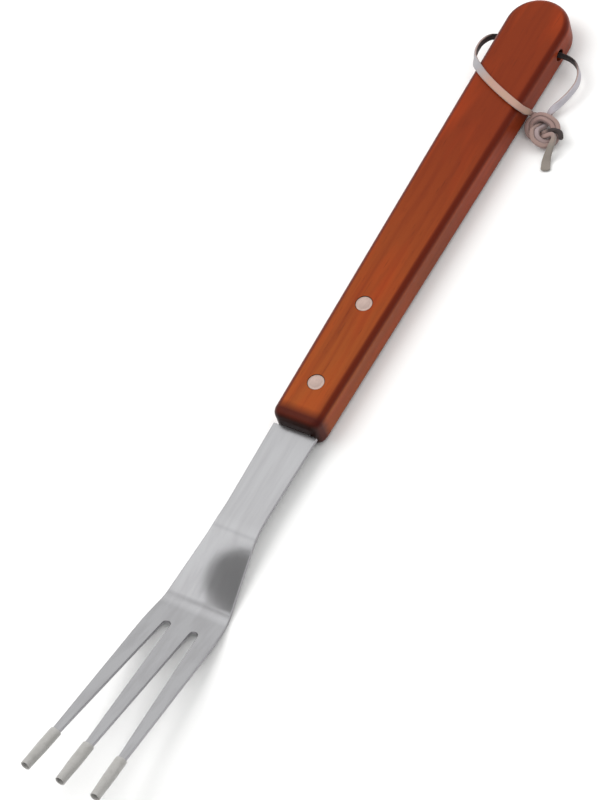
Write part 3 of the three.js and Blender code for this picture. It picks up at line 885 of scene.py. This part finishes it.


# Stained hardwood under satin lacquer: long red and orange streaks, fine dark pores and a soft sheen. Its
# rounded edges along its length are painted darker as shade, and its front end and the faces towards the
# tines are painted darker still as shade. Reaches run from the front end. The pores are drawn broader than
# real ones, so that they show.
woodLook = {
    "front": "934819",
    "rear": ("782b0b", 0, 152.5, 1),
    "ember": ("a23a0e", 0.45, 0.75, 0.7),
    "streak": ("6c2309", 0.45, 0.8, 0.6),
    "pore": ("3a1206", 0.62, 0.74, 0.4),
    # Painted shade along the long rounded edges
    "roundedEdgeShade": ("5a1602", 0.2, 0.43, 0.93),
    # Painted shade at the front end and on the faces towards the tines
    "frontEndShade": ("3e0b04", 8, 4, 0.92),
    "frontFaceShade": ("1c0804", -0.45, -0.85, 0.9),
    "patchMarks": ((60, 10, 10), 2, 0.55),
    "streakMarks": ((80, 3.2, 3.2), 1.5, 0.55),
    "poreMarks": ((9, 0.45, 0.45), 2, 0.55),
    "wander": 2.5,
    "wanderLength": 60,
    "wanderDetail": 1,
    "poreBump": 0.12,
    "poreDepth": 0.05,
    "roughness": 0.42,
    "ior": 1.5,
    "specular": 0.17,
}


def makeWood():
    w = woodLook
    material, tree = newMaterial("stainedHardwood")
    place = ownPlace(tree)
    bend = addNode(tree, "ShaderNodeTexNoise", {
        "Vector": place, "Scale": 1 / w["wanderLength"], "Detail": w["wanderDetail"],
    })
    swing = {0: bend.outputs["Color"], 1: (0, w["wander"], w["wander"])}
    wander = addNode(tree, "ShaderNodeVectorMath", swing, operation="MULTIPLY")
    bent = addNode(tree, "ShaderNodeVectorMath", {0: place, 1: wander.outputs[0]}, operation="ADD")
    grain = bent.outputs[0]
    pores = spreadMarks(tree, grain, w["poreMarks"])
    along = addNode(tree, "ShaderNodeSeparateXYZ", {"Vector": place}).outputs["X"]
    fromFront = distanceFrom(tree, along, -handle["length"] / 2)
    normal = addNode(tree, "ShaderNodeTexCoord").outputs["Normal"]
    facing = addNode(tree, "ShaderNodeSeparateXYZ", {"Vector": normal}).outputs
    slant = addNode(tree, "ShaderNodeMath", {0: facing["Y"], 1: facing["Z"]}, operation="MULTIPLY")
    rounded = addNode(tree, "ShaderNodeMath", {0: slant.outputs[0]}, operation="ABSOLUTE")
    layers = {
        "rear": fromFront,
        "ember": spreadMarks(tree, grain, w["patchMarks"]),
        "streak": spreadMarks(tree, grain, w["streakMarks"]),
        "pore": pores,
        # painted shade on the rounded edges
        "roundedEdgeShade": rounded.outputs[0],
        # painted shade at the front end and on the faces towards the tines
        "frontEndShade": fromFront,
        "frontFaceShade": facing["X"],
    }
    colour = linearColour(w["front"])
    for name, value in layers.items():
        colour = layShade(tree, colour, value, w[name])
    start, full = w["pore"][1:3]
    depth = addNode(tree, "ShaderNodeMapRange", {"Value": pores, "From Min": start, "From Max": full})
    bump = addNode(tree, "ShaderNodeBump", {
        "Height": depth.outputs[0], "Strength": w["poreBump"], "Distance": w["poreDepth"] * mm,
    }, invert=True)
    shader = addNode(tree, "ShaderNodeBsdfPrincipled", {
        "Base Color": colour,
        "Roughness": w["roughness"],
        "IOR": w["ior"],
        "Specular IOR Level": w["specular"],
        "Normal": bump.outputs[0],
    })
    addNode(tree, "ShaderNodeOutputMaterial", {"Surface": shader.outputs[0]})
    return material


# Satin stainless sheet: a cool grey that mirrors softly, with cloudy streaks along the rolling and a faint
# darker line along each bend. Its sheared edges are rougher and painted darker as shade. It is duller
# beside the handle and in the head's bend. The streaks are drawn broader than real brush marks, so that
# they show.
steelLook = {
    "colour": "c6c6c8",
    "clouded": ("b4b3b5", 0.4, 0.65, 0.45),
    "bendLine": ("9c9c9e", 1.4, 0, 0.24),
    "bendLinePlaces": (-162.3, -193.3),
    # The sheared edges are painted darker as shade, and they are rougher
    "shearedEdgeShadeAndDull": ("a5a3a7", 0.7, 0.3, 1),
    "roughness": (0.081, 0.116),
    "dullPlaces": [(-112.5, 17, 4), (-193.9, 2.4, 1)],  # where, and from where to where the dulling grows
    "dullRoughness": 0.265,
    "edgeRoughness": 0.5,
    "anisotropy": 0.3,
    "streakMarks": ((45, 4, 4), 3, 0.5),
    "grainMarks": ((12, 0.5, 0.5), 2, 0.5),
    "grainBump": 0.02,
    "grainDepth": 0.02,
}


def makeSteel():
    s = steelLook
    material, tree = newMaterial("satinStainlessSteel")
    place = ownPlace(tree)
    along = addNode(tree, "ShaderNodeSeparateXYZ", {"Vector": place}).outputs["X"]
    streaks = spreadMarks(tree, place, s["streakMarks"])
    normal = addNode(tree, "ShaderNodeTexCoord").outputs["Normal"]
    upward = addNode(tree, "ShaderNodeSeparateXYZ", {"Vector": normal}).outputs["Z"]
    level = addNode(tree, "ShaderNodeMath", {0: upward}, operation="ABSOLUTE").outputs[0]
    colour = layShade(tree, linearColour(s["colour"]), streaks, s["clouded"])
    for x in s["bendLinePlaces"]:
        colour = layShade(tree, colour, distanceFrom(tree, along, x), s["bendLine"])
    # painted shade on the sheared edges
    colour = layShade(tree, colour, level, s["shearedEdgeShadeAndDull"])

    low, high = s["roughness"]
    rough = addNode(tree, "ShaderNodeMapRange", {
        "Value": streaks, "From Min": marksLow, "From Max": marksHigh, "To Min": low, "To Max": high,
    })
    roughness = rough.outputs[0]
    for x, start, full in s["dullPlaces"]:
        dulled = addNode(tree, "ShaderNodeMapRange", {
            "Value": distanceFrom(tree, along, x), "From Min": start, "From Max": full,
        }, interpolation_type="SMOOTHERSTEP")
        dulling = {0: dulled.outputs[0], 2: roughness, 3: s["dullRoughness"]}
        roughness = addNode(tree, "ShaderNodeMix", dulling).outputs[0]
    start, full = s["shearedEdgeShadeAndDull"][1:3]
    sheared = addNode(tree, "ShaderNodeMapRange", {"Value": level, "From Min": start, "From Max": full})
    shearing = {0: sheared.outputs[0], 2: roughness, 3: s["edgeRoughness"]}
    roughness = addNode(tree, "ShaderNodeMix", shearing).outputs[0]
    bump = addNode(tree, "ShaderNodeBump", {
        "Height": spreadMarks(tree, place, s["grainMarks"]),
        "Strength": s["grainBump"],
        "Distance": s["grainDepth"] * mm,
    })
    shader = addNode(tree, "ShaderNodeBsdfPrincipled", {
        "Base Color": colour,
        "Metallic": 1.0,
        "Roughness": roughness,
        "Anisotropic": s["anisotropy"],
        "Normal": bump.outputs[0],
    })
    addNode(tree, "ShaderNodeOutputMaterial", {"Surface": shader.outputs[0]})
    return material


# Aluminium rivet, ground flush with the wood: pale and warm, with scuffs that are drawn coarser than real
# ones, so that they show
rivetLook = {
    "colour": "d6bdb3",
    "scuff": ("c4aca2", 0.4, 0.65, 0.4),
    "roughness": (0.28, 0.46),
    "scuffMarks": ((1.6, 0.35, 1.6), 4, 0.5),
    "scuffBump": 0.08,
    "scuffDepth": 0.05,
}


def makeRivetMetal():
    r = rivetLook
    material, tree = newMaterial("groundAluminium")
    scuffs = spreadMarks(tree, ownPlace(tree), r["scuffMarks"])
    low, high = r["roughness"]
    rough = addNode(tree, "ShaderNodeMapRange", {
        "Value": scuffs, "From Min": marksLow, "From Max": marksHigh, "To Min": low, "To Max": high,
    })
    bump = addNode(tree, "ShaderNodeBump", {
        "Height": scuffs, "Strength": r["scuffBump"], "Distance": r["scuffDepth"] * mm,
    })
    shader = addNode(tree, "ShaderNodeBsdfPrincipled", {
        "Base Color": layShade(tree, linearColour(r["colour"]), scuffs, r["scuff"]),
        "Metallic": 1.0,
        "Roughness": rough.outputs[0],
        "Normal": bump.outputs[0],
    })
    addNode(tree, "ShaderNodeOutputMaterial", {"Surface": shader.outputs[0]})
    return material


# Soft milky vinyl: cloudy and half clear, so that the tine shows faintly through it
vinylLook = {
    "colour": "b3b1ae",
    "cloud": ("a5a39f", 0.4, 0.65, 0.7),
    "roughness": (0.22, 0.36),
    "ior": 1.53,
    "cover": 0.82,  # how little shows through
    "cloudMarks": ((2.5, 2.5, 2.5), 3, 0.5),
}


def makeVinyl():
    v = vinylLook
    material, tree = newMaterial("milkyVinyl")
    clouds = spreadMarks(tree, ownPlace(tree), v["cloudMarks"])
    low, high = v["roughness"]
    rough = addNode(tree, "ShaderNodeMapRange", {
        "Value": clouds, "From Min": marksLow, "From Max": marksHigh, "To Min": low, "To Max": high,
    })
    shader = addNode(tree, "ShaderNodeBsdfPrincipled", {
        "Base Color": layShade(tree, linearColour(v["colour"]), clouds, v["cloud"]),
        "Roughness": rough.outputs[0],
        "IOR": v["ior"],
        "Alpha": v["cover"],
    })
    addNode(tree, "ShaderNodeOutputMaterial", {"Surface": shader.outputs[0]})
    return material


makeHandle(makeWood())
makeBlade(makeSteel())
makeRivets(makeRivetMetal())
vinyl = makeVinyl()
makeGuard("tipGuardLeft", "left_guard", "tip_guard_left", False, 1, vinyl)
makeGuard("tipGuardMiddle", "middle_guard", "tip_guard_middle", True, 1, vinyl)
makeGuard("tipGuardRight", "right_guard", "tip_guard_right", False, -1, vinyl)
print("tip guards made")


# Studio: a pale floor, a sky that is brightest overhead and dim on the right and beyond the tips, two wide
# soft lamps, and a small grey disc whose reflection lies on the neck
studio = {
    "floorColour": "f7f7f6",
    "floorSize": 4000,
    "floorGap": 0.1,
    "skyLow": (0.45, 0.64),  # how far a direction points up, and the light there
    "skyHigh": (0.92, 1.03),
    "dimSides": [((0.1, -0.86, 0.5), (0.5, 0.75)), ((-0.87, 0.2, 0.45), (0.6, 0.85))],
    "dimShare": 0.35,
    "lamps": {"softLamp": ((-250, 800, 1200), 13), "fillLamp": ((400, -700, 1200), 6)},
    "lampSize": 1200,
    "cardSpot": (-181.6, 51.9, 142.0),
    "cardWay": (-0.01, 0.42, 0.91),
    "cardColour": "8c8c8c",
    "cardRadius": 15,
    "cardSides": 48,
}


def makeBoard(name, colour):
    material, tree = newMaterial(name)
    shader = addNode(tree, "ShaderNodeBsdfDiffuse", {"Color": linearColour(colour)})
    addNode(tree, "ShaderNodeOutputMaterial", {"Surface": shader.outputs[0]})
    return material


def makeFloor():
    bpy.ops.object.select_all(action="DESELECT")
    height = cadLow[2] - studio["floorGap"] * mm
    bpy.ops.mesh.primitive_plane_add(size=studio["floorSize"] * mm, location=(0, 0, height))
    floor = bpy.context.object
    floor.name = "floor"
    floor.data.materials.append(makeBoard("matteBoard", studio["floorColour"]))


def makeSky():
    s = studio
    world = bpy.data.worlds.new("studio")
    scene.world = world
    world.use_nodes = True
    tree = world.node_tree
    tree.nodes.clear()
    way = addNode(tree, "ShaderNodeTexCoord").outputs["Generated"]
    upward = addNode(tree, "ShaderNodeSeparateXYZ", {"Vector": way}).outputs["Z"]
    level = addNode(tree, "ShaderNodeMapRange", {
        "Value": upward,
        "From Min": s["skyLow"][0], "From Max": s["skyHigh"][0],
        "To Min": s["skyLow"][1], "To Max": s["skyHigh"][1],
    })
    strength = level.outputs[0]
    for axis, (start, full) in s["dimSides"]:
        towards = addNode(tree, "ShaderNodeVectorMath", {0: way, 1: axis}, operation="DOT_PRODUCT")
        lit = addNode(tree, "ShaderNodeMapRange", {
            "Value": towards.outputs["Value"],
            "From Min": start, "From Max": full,
            "To Min": 1.0, "To Max": 1 - s["dimShare"],
        })
        dimmed = {0: strength, 1: lit.outputs[0]}
        strength = addNode(tree, "ShaderNodeMath", dimmed, operation="MULTIPLY").outputs[0]
    sky = addNode(tree, "ShaderNodeBackground", {"Color": (1, 1, 1, 1), "Strength": strength})
    addNode(tree, "ShaderNodeOutputWorld", {"Surface": sky.outputs[0]})


def makeLamps():
    for name, (spot, power) in studio["lamps"].items():
        turn = Vector(spot).to_track_quat("Z", "Y").to_euler()
        bpy.ops.object.light_add(type="AREA", location=Vector(spot) * mm, rotation=turn)
        lamp = bpy.context.object
        lamp.name = name
        lamp.data.size = studio["lampSize"] * mm
        lamp.data.energy = power
        lamp.visible_glossy = False


# The card is seen only in reflections
def makeCard():
    s = studio
    bpy.ops.object.select_all(action="DESELECT")
    turn = Vector(s["cardWay"]).to_track_quat("Z", "Y").to_euler()
    bpy.ops.mesh.primitive_circle_add(vertices=s["cardSides"], radius=s["cardRadius"] * mm,
                                      fill_type="NGON", location=Vector(s["cardSpot"]) * mm, rotation=turn)
    card = bpy.context.object
    card.name = "darkCard"
    card.data.materials.append(makeBoard("greyCard", s["cardColour"]))
    card.visible_camera = False
    card.visible_diffuse = False
    card.visible_shadow = False
    card.visible_transmission = False


makeFloor()
makeSky()
makeLamps()
makeCard()
print("studio made")
